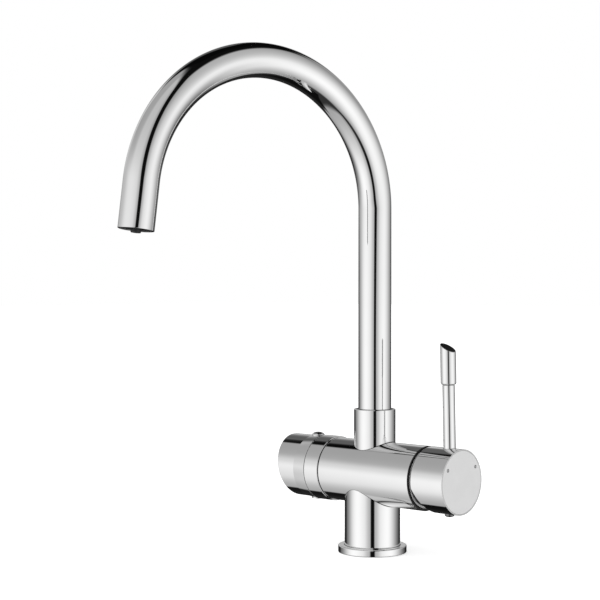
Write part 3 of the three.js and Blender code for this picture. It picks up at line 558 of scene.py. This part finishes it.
def build_foot():
    hole = COLUMN_RADIUS + GAP
    flange = lathe([
        (INLET_BORE, 0, 0.2), (SEAL_INNER - GAP, 0), (SEAL_INNER - GAP, SEAL_TOP + GAP),
        (SEAL_OUTER + GAP, SEAL_TOP + GAP), (SEAL_OUTER + GAP, 0),
        (FLANGE_RADIUS, 0, 0.4), (FLANGE_RADIUS, FLANGE_TOP, 0.9), (hole, FLANGE_TOP, 0.15),
        (hole, FLANGE_FLOOR), (INLET_BORE, FLANGE_FLOOR),
    ], sides=200).build("base_flange_turned")
    finish_piece(flange, CHROME, "tap_body", "chrome", "base_flange")
    seal = ring(SEAL_INNER, SEAL_OUTER, 0, SEAL_TOP, 0.3).build("base_seal_moulded")
    finish_piece(seal, RUBBER, "tap_body", "rubber", "base_seal")


# ---------------------------------------------------------------- casting


def fillet_ring(radius, centre_x, upward, sides=200, steps=8, sink=1.2):
    """Solid bead in the corner where an upright cylinder meets the cross tube.

    Its visible face is swept by a ball rolling in the corner. Its hidden faces lie sunk in the
    cylinder and in the tube."""
    shape = Shape()
    sign = 1 if upward else -1
    section = []
    for i in range(sides):
        t = 2 * math.pi * i / sides
        outward = Vector((math.cos(t), math.sin(t), 0))
        y = (radius + BEAD) * outward.y
        height = math.sqrt((BODY_RADIUS + BEAD) ** 2 - y * y)
        centre = Vector((centre_x, 0, AXIS_HEIGHT + sign * height)) + outward * (radius + BEAD)
        to_upright = -outward
        to_tube = Vector((0, -y, -sign * height)).normalized()
        angle = turn_angle(to_upright, to_tube)
        run = []
        for k in range(steps + 1):
            f = k / steps
            u = to_upright * math.sin((1 - f) * angle) + to_tube * math.sin(f * angle)
            u = u / math.sin(angle)
            run.append((centre + u * BEAD, -u))
        inner_upright = run[0][0] + to_upright * sink
        inner_tube = run[-1][0] + to_tube * sink
        run += [(inner_tube, -to_tube), (inner_upright, -to_upright)]
        section.append(run)
    columns = [list(row) for row in zip(*section)]
    if not upward:
        columns.reverse()
    shape.grid(columns, closed_rows=True)
    return shape


def build_body():
    face = BODY_RIGHT - END_STEP
    tube = lathe([
        (0, -BODY_LEFT), (BODY_RADIUS, -BODY_LEFT, 0.4), (BODY_RADIUS, BODY_RIGHT, END_ROUND),
        (END_RING, BODY_RIGHT), (END_RING - END_STEP, face), (0, face),
    ], sides=240, closed=False, steps=8).build("main_body_cast", MIXER)
    column = bar(COLUMN_RADIUS, COLUMN_START, AXIS_HEIGHT, sides=200).build("column")
    collar = bar(COLLAR_RADIUS, AXIS_HEIGHT, COLLAR_TOP, high_round=0.4, sides=200)
    join(tube, column, collar.build("collar", AT_COLLAR),
         fillet_ring(COLLAR_RADIUS, SPOUT_OFFSET, True).build("collar_bead"),
         fillet_ring(COLUMN_RADIUS, 0, False).build("column_bead"))
    socket_bore = stepped_bore([(PASSAGE_BORE, PASSAGE_START, SOCKET_FLOOR),
                                (SOCKET_BORE, SOCKET_FLOOR, GLIDE_FLOOR),
                                (GLIDE_BORE, GLIDE_FLOOR, COLLAR_TOP + OVER)])
    mixer_bore = stepped_bore([(MIXER_BORE, MIXER_FLOOR, NUT_FLOOR),
                               (NUT_BORE, NUT_FLOOR, BODY_RIGHT + OVER)])
    cut(tube,
        socket_bore.build("socket_bore", AT_COLLAR),
        mixer_bore.build("mixer_bore", MIXER),
        bar(FILTER_BORE, FILTER_FLOOR, BODY_LEFT + OVER).build("filter_bore", FILTER),
        bar(INLET_BORE, COLUMN_START - OVER, INLET_TOP).build("inlet_bore"))
    finish_piece(tube, CHROME, "tap_body", "chrome", "main_body")
    # inside the handle's gap the end's outer ring is painted black as shade, and its machined face
    # is bare metal
    tube.data.materials.append(GAP_SHADE)
    tube.data.materials.append(BARE_END)
    gap_shade_edge = (END_RING - 0.8 * END_STEP) * MM  # between the step's middle and its foot
    for polygon in tube.data.polygons:
        if polygon.center.x > (BODY_RIGHT - END_ROUND) * MM and polygon.normal.x > 0.1:
            off_axis = math.hypot(polygon.center.y, polygon.center.z - AXIS_HEIGHT * MM)
            polygon.material_index = 2 if off_axis < gap_shade_edge else 1

    cover = turned([
        [(COVER_HOLE, BODY_RIGHT, 0, -1), (COVER_RADIUS, BODY_RIGHT, 0, -1)],
        [*domed_rim(COVER_RADIUS, COVER_TOP, 4.5, COVER_TOP - BODY_RIGHT),
         (COVER_HOLE, COVER_TOP, 0, 1)],
        [(COVER_HOLE, COVER_TOP, -1, 0), (COVER_HOLE, BODY_RIGHT, -1, 0)],
    ]).build("cartridge_cover_domed", MIXER)
    finish_piece(cover, BLACK_PLASTIC, "tap_body", "black_plastic", "cartridge_cover")


# ---------------------------------------------------------------- mixer handle and lever


def build_handle():
    shell = lathe([
        (HANDLE_BORE, HANDLE_REAR, 0.3), (BODY_RADIUS, HANDLE_REAR, 0.4),
        (BODY_RADIUS, HANDLE_FACE, 0.2), (DISC_SEAT, HANDLE_FACE, 0.15), (DISC_SEAT, DISC_FLOOR),
        (0, DISC_FLOOR), (0, HANDLE_ROOF), (HANDLE_BORE, HANDLE_ROOF),
    ], sides=240).build("mixer_handle_machined", MIXER)
    hub = bar(HUB_RADIUS, HUB_START, HANDLE_ROOF + 0.5).build("hub", MIXER)
    at_lever = MIXER @ Matrix.Translation((0, 0, LEVER_PLACE))
    lever_boss = bar(LEVER_BOSS_RADIUS, 0, BOSS_REACH).build("lever_boss", at_lever @ UP)
    plug_boss = bar(PLUG_BOSS_RADIUS, 0, BOSS_REACH).build("plug_boss", at_lever @ DOWN)
    join(shell, hub, lever_boss, plug_boss)
    reach = 2 * BODY_RADIUS
    front, deepest = HANDLE_REAR - CUT_SLOPE * OVER, -CUT_DROP - reach
    wedge = prism([(front, OVER - CUT_DROP), (front, deepest),
                   (HANDLE_REAR + CUT_SLOPE * reach, deepest)], -reach, reach)
    to_side = basis((1, 0, 0), (0, 0, 1), (0, -1, 0), (0, 0, AXIS_HEIGHT))
    plug_hole = bar(PLUG_RADIUS + GAP, PLUG_START - GAP, BODY_RADIUS + OVER, sides=96)
    spindle_slot = prism(rectangle(*SPINDLE_SLOT), HUB_START - OVER, SPINDLE_SLOT_END)
    cut(shell,
        wedge.build("rear_cut", to_side),
        spindle_slot.build("spindle_slot", MIXER),
        bar(ROD_RADIUS + GAP, -ROD_SUNK - GAP, 4.5, sides=96).build("lever_hole", LEVER),
        bar(GRUB_RADIUS, 0, BODY_RADIUS, sides=64).build("grub_hole", at_lever @ DOWN),
        plug_hole.build("plug_hole", at_lever @ DOWN))
    finish_piece(shell, CHROME, "mixer_handle_group", "chrome", "mixer_handle")

    disc = bar(DISC_SEAT - DISC_SEAM, DISC_FLOOR + GAP, HANDLE_FACE - DISC_SEAM, high_round=0.1,
               sides=200).build("face_disc_satin", MIXER)
    across, up = math.sin(DOT_ANGLE) * DOT_CIRCLE, math.cos(DOT_ANGLE) * DOT_CIRCLE
    places = [MIXER @ Matrix.Translation((side * across, up, 0)) for side in (-1, 1)]
    pocket = bar(DOT_RADIUS + GAP, DOT_START - GAP, HANDLE_FACE + OVER, sides=48)
    cut(disc, *(pocket.build("pocket", place) for place in places))
    finish_piece(disc, SATIN, "mixer_handle_group", "satin_chrome", "handle_face_disc")
    dot_shape = bar(DOT_RADIUS, DOT_START, HANDLE_FACE, high_round=0.12, sides=48)
    for name, place in zip(("left_dot", "right_dot"), places):
        dot = dot_shape.build(name + "_inlay", place)
        finish_piece(dot, GREY_DOT, "mixer_handle_group", "grey_marking", name)

    plug = domed_bar(PLUG_RADIUS, PLUG_START, PLUG_TOP, 1.4, sides=96)
    plug = plug.build("screw_plug_domed", at_lever @ DOWN)
    # the plug's darkness is painted shade in its chrome colour
    finish_piece(plug, DULL_SHADED_CHROME, "mixer_handle_group", "chrome", "handle_screw_plug")


def build_lever():
    rod = lathe([
        (0, -ROD_SUNK), (ROD_RADIUS, -ROD_SUNK, 0.4), (ROD_RADIUS, ROD_SHOULDER, 0.2),
        (TENON_RADIUS, ROD_SHOULDER), (TENON_RADIUS, TENON_END, 0.4), (0, TENON_END),
    ], sides=120, closed=False).build("lever_rod_polished", LEVER)
    finish_piece(rod, CHROME, "mixer_handle_group", "chrome", "lever_rod")
    bore, start, floor = TENON_RADIUS + GAP, ROD_SHOULDER + GAP, TENON_END + GAP
    grip = lathe([
        (bore, floor), (bore, start, 0.2), (GRIP_RADIUS, start, 1.4),
        (GRIP_RADIUS, GRIP_END, 0.35), (0, GRIP_END), (0, floor),
    ], sides=144, closed=False, steps=8, slant=GRIP_SLOPE, slant_from=70.0)
    grip = grip.build("lever_grip_polished", LEVER)
    finish_piece(grip, CHROME, "mixer_handle_group", "chrome", "lever_grip")


# ---------------------------------------------------------------- filter side


def build_filter():
    start = BODY_LEFT + GAP
    trim = lathe([
        (TRIM_BORE, start, 0.3), (TRIM_RADIUS, start, 0.45), (TRIM_RADIUS, TRIM_END, 0.45),
        (STEM_CLEARANCE, TRIM_END, 0.2), (STEM_CLEARANCE, TRIM_ROOF), (TRIM_BORE, TRIM_ROOF),
    ], sides=240).build("trim_ring_turned", FILTER)
    finish_piece(trim, CHROME, "tap_body", "chrome", "filter_trim_ring")

    start = TRIM_END + GAP
    knob = lathe([
        (KNOB_BORE, start, 0.3), (TRIM_RADIUS, start, 0.45), (BODY_RADIUS, KNOB_TAPER_END),
        (BODY_RADIUS, KNOB_END, 0.5), (0, KNOB_END), (0, KNOB_ROOF), (KNOB_BORE, KNOB_ROOF),
    ], sides=240, steps=8, slant=KNOB_SLOPE, slant_from=74.0)
    knob = knob.build("filter_knob_machined", FILTER)
    at_pip = FILTER @ Matrix.Translation((0, 0, PIP_PLACE))
    join(knob,
         domed_bar(PIP_RADIUS, BOSS_REACH, PIP_TOP, 2.5).build("pip", at_pip @ UP),
         bar(PIP_RADIUS, BOSS_REACH, KNOB_BOSS_TOP, high_round=0.4).build("boss", at_pip @ DOWN),
         bar(KNOB_HUB_RADIUS, KNOB_HUB_START, KNOB_ROOF + OVER).build("knob_hub", FILTER))
    stem_hole = bar(STEM_HOLE_RADIUS, KNOB_HUB_START - OVER, STEM_HOLE_END, sides=96)
    cut(knob,
        stem_hole.build("stem_hole", FILTER),
        bar(GRUB_RADIUS, 0, 9, sides=64).build("grub_bore", at_pip @ DOWN),
        bar(ACCESS_RADIUS, 20.5, 26.5, sides=96).build("access_hole", at_pip @ DOWN))
    finish_piece(knob, CHROME, "filter_knob_group", "chrome", "filter_knob")


# ---------------------------------------------------------------- spout


def spout_path(rises=12, bends=144, falls=4):
    """Centreline samples of the spout in its own frame: point and tangent."""
    up = Vector((0, 0, 1))
    path = [(up * (TUBE_START + (SPRING_HEIGHT - TUBE_START) * i / rises), up)
            for i in range(rises + 1)]
    for i in range(1, bends + 1):
        a = ARCH_ANGLE * i / bends
        out, rise = ARCH_RADIUS * (1 - math.cos(a)), ARCH_RADIUS * math.sin(a)
        path.append((Vector((0, -out, SPRING_HEIGHT + rise)),
                     Vector((0, -math.sin(a), math.cos(a)))))
    end, along = path[-1]
    for i in range(1, falls + 1):
        path.append((end + along * TIP_LENGTH * i / falls, along))
    return path


def ring_at(point, along, radius, out, forward, sides=144):
    """Loop of samples round the spout's path; the normal has outward and forward shares."""
    side = Vector((1, 0, 0))
    third = along.cross(side)
    row = []
    for i in range(sides):
        t = 2 * math.pi * i / sides
        radial = side * math.cos(t) + third * math.sin(t)
        normal = (radial * out + along * forward).normalized()
        row.append((tuple(point + radial * radius), tuple(normal)))
    return row


def build_spout():
    path = spout_path()
    start, (end, along) = path[0], path[-1]
    inner = TUBE_RADIUS - TUBE_WALL
    tube = Shape()
    outer = [ring_at(*sample, TUBE_RADIUS, 1, 0) for sample in path[:-1]]
    outer.append(ring_at(end - along * TUBE_RIM, along, TUBE_RADIUS, 1, 0))
    steps = 5
    for k in range(1, steps + 1):
        c, s = math.cos(math.pi / 2 * k / steps), math.sin(math.pi / 2 * k / steps)
        outer.append(ring_at(end + along * (s - 1) * TUBE_RIM, along,
                             TUBE_RADIUS - TUBE_RIM * (1 - c), c, s))
    tube.grid(outer)
    tube.grid([ring_at(end, along, TUBE_RADIUS - TUBE_RIM, 0, 1),
               ring_at(end, along, inner, 0, 1)])
    tube.grid([ring_at(*sample, inner, -1, 0) for sample in reversed(path)])
    tube.grid([ring_at(*start, inner, 0, -1), ring_at(*start, TUBE_RADIUS, 0, -1)])
    finish_piece(tube.build("spout_tube_drawn", SPOUT), CHROME, "spout_group", "chrome",
                 "spout_tube")

    side = Vector((1, 0, 0))
    outlet = SPOUT @ basis(side, along.cross(side), along, end)
    housing = ring(HOUSING_BORE, HOUSING_RADIUS, -HOUSING_SUNK, -0.6, 0.2)
    housing = housing.build("aerator_housing_moulded", outlet)
    across = HOUSING_RADIUS + HOUSING_BORE
    web = prism(rectangle(across, WEB_THICKNESS), -HOUSING_SUNK, WEB_HEIGHT - HOUSING_SUNK)
    webs = [web.build("web", outlet @ Matrix.Rotation(turn, 4, "Z")) for turn in (0, math.pi / 2)]
    sleeve = bar(SLEEVE_RADIUS, -HOUSING_SUNK, -1.2, high_round=0.2, sides=96)
    join(housing, *webs, sleeve.build("sleeve", outlet))
    sleeve_bore = bar(NOZZLE_RADIUS + GAP, -HOUSING_SUNK - OVER, 0, sides=96)
    cut(housing, sleeve_bore.build("sleeve_bore", outlet))
    finish_piece(housing, BLACK_PLASTIC, "spout_group", "black_plastic", "aerator_housing")

    nozzle = lathe([
        (NOZZLE_BORE, TAIL_END), (TAIL_RADIUS, TAIL_END, 0.2), (TAIL_RADIUS, -HOUSING_SUNK),
        (NOZZLE_RADIUS, -HOUSING_SUNK, 0.2), (NOZZLE_RADIUS, NOZZLE_PROUD, 0.4),
        (NOZZLE_BORE, NOZZLE_PROUD, 0.2),
    ], sides=96).build("nozzle_turned", outlet)
    finish_piece(nozzle, BLACK_PLASTIC, "spout_group", "black_plastic", "filtered_water_nozzle")

    glide = ring(GLIDE_INNER, GLIDE_BORE - GAP, GLIDE_FLOOR + GAP, GLIDE_TOP, 0.15)
    glide = glide.build("glide_ring_moulded", AT_COLLAR)
    finish_piece(glide, BLACK_PLASTIC, "spout_group", "black_plastic", "spout_glide_ring")


build_foot()
build_body()
build_handle()
build_lever()
build_filter()
build_spout()

# ---------------------------------------------------------------- camera

BACK = Vector((0.68498, -0.72844, 0.01309)).normalized()  # from the tap towards the camera
RIGHT = Vector((0, 0, 1)).cross(BACK).normalized()
TARGET = Vector((-39.04, -38.88, 191.15))
CAMERA_DISTANCE = 1121.0

camera_data = bpy.data.cameras.new("camera")
camera_data.lens = 88.68
camera_data.sensor_width = 36.0
camera_data.clip_start = 0.05
camera_data.clip_end = 100.0
camera = bpy.data.objects.new("camera", camera_data)
bpy.context.scene.collection.objects.link(camera)
camera_place = (TARGET + BACK * CAMERA_DISTANCE) * MM
camera.matrix_world = basis(RIGHT, BACK.cross(RIGHT), BACK, camera_place)
bpy.context.scene.camera = camera

# ---------------------------------------------------------------- floor, lamp and studio

FLOOR_HALF = 9.0  # metres
FLOOR_DROP = 0.0002  # metres under the foot, so that the two don't coincide
FLOOR_GLOW = 0.45  # added where the camera sees the floor, which makes it white there

floor_mesh = bpy.data.meshes.new("floor")
floor_corners = [(*corner, 0) for corner in rectangle(2 * FLOOR_HALF, 2 * FLOOR_HALF)]
floor_mesh.from_pydata(floor_corners, [], [(0, 1, 2, 3)])
floor = bpy.data.objects.new("floor", floor_mesh)
bpy.context.scene.collection.objects.link(floor)
floor.location.z = -FLOOR_DROP
floor.visible_glossy = False
material, nodes, links, shader = new_material("pale_floor")
shader.inputs["Base Color"].default_value = (0.8, 0.8, 0.8, 1)
shader.inputs["Roughness"].default_value = 0.9
shader.inputs["Specular IOR Level"].default_value = 0.0
light_path = nodes.new("ShaderNodeLightPath")
glow = nodes.new("ShaderNodeMath")
glow.operation = "MULTIPLY"
glow.inputs[1].default_value = FLOOR_GLOW
links.new(light_path.outputs["Is Camera Ray"], glow.inputs[0])
links.new(glow.outputs[0], shader.inputs["Emission Strength"])
shader.inputs["Emission Color"].default_value = (1, 1, 1, 1)
floor_mesh.materials.append(material)

sun_data = bpy.data.lights.new("soft_key", "SUN")
sun_data.energy = 0.8
sun_data.angle = math.radians(60)
sun = bpy.data.objects.new("soft_key", sun_data)
bpy.context.scene.collection.objects.link(sun)
sun.rotation_euler = (math.radians(35), math.radians(-20), 0)
sun.visible_glossy = False


def ease(value, low, high):
    """Smooth step from 0 at low to 1 at high."""
    t = np.clip((value - low) / (high - low), 0, 1)
    return t * t * (3 - 2 * t)


# Two tall soft boxes stand left and right of the camera. Each pair below is (left, right), with
# angles in degrees and brightness up to 255.
BOX_MIDDLE = (66.0, 64.0)  # from the dark gap between the boxes to a box's brightest line
BOX_INWARD = (56.0, 62.0)  # its fading towards the gap
BOX_OUTWARD = (45.0, 58.0)  # its fading away from the gap
BOX_ABOVE = (40.0, 38.0)  # its fading upwards
BOX_BELOW = (30.0, 38.0)  # its fading downwards
BOX_BASE = (184.0, 172.0)  # its brightness far from its brightest spot, before losses
BOX_PEAK = (68.0, 80.0)  # what the brightest spot adds to that
BOX_CENTRE = (-68.0, 68.0)  # azimuth at which its edges reach furthest up and down
BOX_TOP = (80.0, 64.5)  # elevation of its top edge there
BOX_EYE = -14.0  # elevation of the brightest spot
BOX_FOOT = 4.2  # tangent of the depression of its bottom edge there


def soft_boxes(a, e, x):
    """Brightness of the soft boxes and the gap between them; x is counted from the gap."""
    left = x < 0

    def pick(pair):
        return np.where(left, *pair)

    u = np.abs(x)
    middle = pick(BOX_MIDDLE)
    fading = np.where(u < middle, pick(BOX_INWARD), pick(BOX_OUTWARD))
    sharpness = np.where(left & (u > middle), 3.0, 2.0)
    sideways = np.exp(-np.abs((u - middle) / fading) ** sharpness)
    fading = np.where(e > BOX_EYE, pick(BOX_ABOVE), pick(BOX_BELOW))
    upright = np.exp(-np.abs((e - BOX_EYE) / fading) ** 2.2)

    # past its middle each box loses brightness, most about 15 degrees under the horizon
    outer = np.clip((u - middle) / 70, 0, 1) ** 1.5
    low = ease(e, -34, -16)
    drop_left = (0.12 + 0.43 * low) * (1 - ease(e, -14, 10))
    drop_right = 0.34 - 0.22 * ease(-e, 14, 30) + 0.3 * low * (1 - ease(e, -12, 0))
    drop = np.where(left, drop_left, drop_right) * outer
    drop = drop + np.where(left, 0.14, 0.0) * ease(u, 72, 100) * ease(e, 14, 32)
    base = pick(BOX_BASE) * (1 - drop) * (1 - 0.08 * ease(-e, 48, 72))
    box = (base + pick(BOX_PEAK) * upright * sideways) * (0.85 + 0.15 * ease(u, 10, 34))

    # the boxes' straight top and bottom edges, as seen from the tap
    share = np.maximum(np.cos(np.radians(a - pick(BOX_CENTRE))), 0.02)
    top = np.degrees(np.arctan(np.tan(np.radians(pick(BOX_TOP))) * share))
    bottom = np.degrees(np.arctan(BOX_FOOT * share))
    widened = 6 * ease(e, 35, 60) + 1.8 * ease(-e, 8, 22)
    gap_half = 7.2 + 3.6 * ease(e, -2, 14) + np.where(left, 0, widened)
    lit = ease(u, gap_half - 3, gap_half + 3) * ease(top - e, -6, 6) * ease(bottom + e, -6, 6)
    dark = 13 + 36 * ease(-e, 12, 50)
    return dark + (box - dark) * lit


def backdrop(a, e):
    """Brightness behind the tap: a pale backdrop above dark ground and below dark space."""
    level_left = 200 - 110 * ease(-a, 142, 160) * ease(e, 8, 36)
    level_right = 148 + 40 * ease(a, 155, 178)
    level = np.where(a < 0, level_left, level_right)
    top = np.where(a < 0, 43 + 10 * ease(-a, 148, 170), 44 - 16 * ease(a, 142, 160))
    ground = 36 - 24 * ease(-e, 30, 55) - 28 * ease(e, 15, 45)
    return ground + (level - ground) * ease(e, -10, 14) * ease(top - e, -5, 6)


def studio(a, e):
    """Brightness, 0 to 1, that the chrome sees at azimuth a and elevation e in degrees.

    Azimuth 0 points at the camera and grows to its right."""
    gap_centre = -2.2 + 14.5 * ease(e, -3, 13)
    front = soft_boxes(a, e, a - gap_centre)
    far = np.where(e > 0, 134.0, 138.0)
    far = far + 14 * ease(-e, 12, 22) * np.where(a < 0, ease(e, -44, -38), 1.0)
    edge = ease(np.abs(a), far - 4, far + 4)
    shown = front * (1 - edge) + backdrop(a, e) * edge
    return np.clip(shown / 255, 0, 1)


def to_linear(shown):
    """Light that renders as a given brightness under the Standard view."""
    return np.where(shown <= 0.04045, shown / 12.92, ((shown + 0.055) / 1.055) ** 2.4)


def build_studio():
    """Dome far round the tap, seen by reflections alone."""
    across, up, radius = 720, 360, 30.0
    azimuths = np.linspace(-180, 180, across, endpoint=False)
    elevations = np.linspace(-90, 90, up + 1)
    grid_a, grid_e = np.meshgrid(azimuths, elevations)
    flat_back = Vector((BACK.x, BACK.y, 0)).normalized()
    ca, sa = np.cos(np.radians(grid_a)), np.sin(np.radians(grid_a))
    ce, se = np.cos(np.radians(grid_e)), np.sin(np.radians(grid_e))
    points = np.stack([
        (flat_back.x * ca + RIGHT.x * sa) * ce, (flat_back.y * ca + RIGHT.y * sa) * ce, se,
    ], axis=-1).reshape(-1, 3) * radius
    index = np.arange(up * across).reshape(up, across)
    beside = np.roll(index, -1, axis=1)
    faces = np.stack([index, beside, beside + across, index + across], axis=-1).reshape(-1, 4)
    mesh = bpy.data.meshes.new("studio_dome")
    mesh.from_pydata(points.tolist(), [], faces.tolist())
    values = to_linear(studio(grid_a, grid_e)).reshape(-1) / CHROME_REFLECTANCE
    layer = mesh.attributes.new("brightness", "FLOAT", "POINT")
    layer.data.foreach_set("value", values.astype(np.float32))
    dome = bpy.data.objects.new("studio_dome", mesh)
    bpy.context.scene.collection.objects.link(dome)
    for ray in ("camera", "diffuse", "transmission", "shadow", "volume_scatter"):
        setattr(dome, "visible_" + ray, False)
    material = bpy.data.materials.new("studio_light")
    material.use_nodes = True
    material.cycles.emission_sampling = "NONE"
    nodes, links = material.node_tree.nodes, material.node_tree.links
    nodes.remove(nodes["Principled BSDF"])
    attribute = nodes.new("ShaderNodeAttribute")
    attribute.attribute_name = "brightness"
    glow = nodes.new("ShaderNodeEmission")
    links.new(attribute.outputs["Fac"], glow.inputs["Strength"])
    links.new(glow.outputs["Emission"], nodes["Material Output"].inputs["Surface"])
    mesh.materials.append(material)


build_studio()

world = bpy.data.worlds.new("studio")
world.use_nodes = True
bpy.context.scene.world = world
nodes, links = world.node_tree.nodes, world.node_tree.links
background = nodes["Background"]
background.inputs["Color"].default_value = (1, 1, 1, 1)
light_path = nodes.new("ShaderNodeLightPath")
level = nodes.new("ShaderNodeMapRange")
level.inputs["To Min"].default_value = 0.85
level.inputs["To Max"].default_value = 1.0
seen = nodes.new("ShaderNodeMath")
seen.operation = "MAXIMUM"
links.new(light_path.outputs["Is Camera Ray"], seen.inputs[0])
links.new(light_path.outputs["Is Transmission Ray"], seen.inputs[1])
links.new(seen.outputs[0], level.inputs["Value"])
links.new(level.outputs["Result"], background.inputs["Strength"])

scene = bpy.context.scene
scene.view_settings.view_transform = "Standard"
